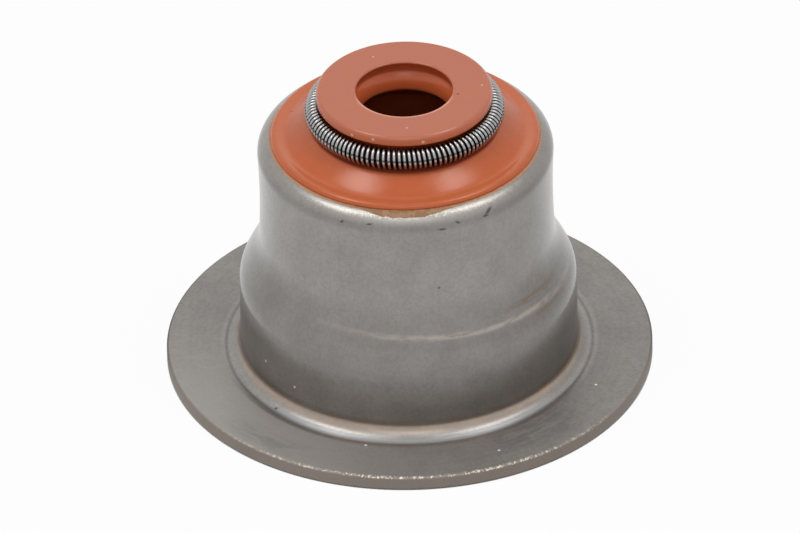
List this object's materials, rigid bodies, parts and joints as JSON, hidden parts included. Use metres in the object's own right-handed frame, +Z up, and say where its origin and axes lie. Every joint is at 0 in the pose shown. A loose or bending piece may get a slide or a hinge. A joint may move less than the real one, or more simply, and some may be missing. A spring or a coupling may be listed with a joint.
{
  "type": "valve stem seal",
  "caption": "Valve stem seal: drawn steel shell with a wide flange as spring seat, rubber head with a bore, and a garter spring in its groove.",
  "frame": {"origin": "centre of the flange's underside", "axes": "+Z up along the bore, from the flange to the rubber head; +X and +Y alike, because the part is round"},
  "size_m": [0.031, 0.031, 0.0202],
  "materials": {
    "shell_steel": "satin drawn steel, lightly grimed",
    "seal_rubber": "smooth moulded terracotta rubber with a soft sheen",
    "spring_steel": "bright drawn wire"
  },
  "bodies": {
    "root": {"steel_shell": "shell_steel", "rubber_seal": "seal_rubber", "garter_spring": "spring_steel"}
  },
  "joints": []
}
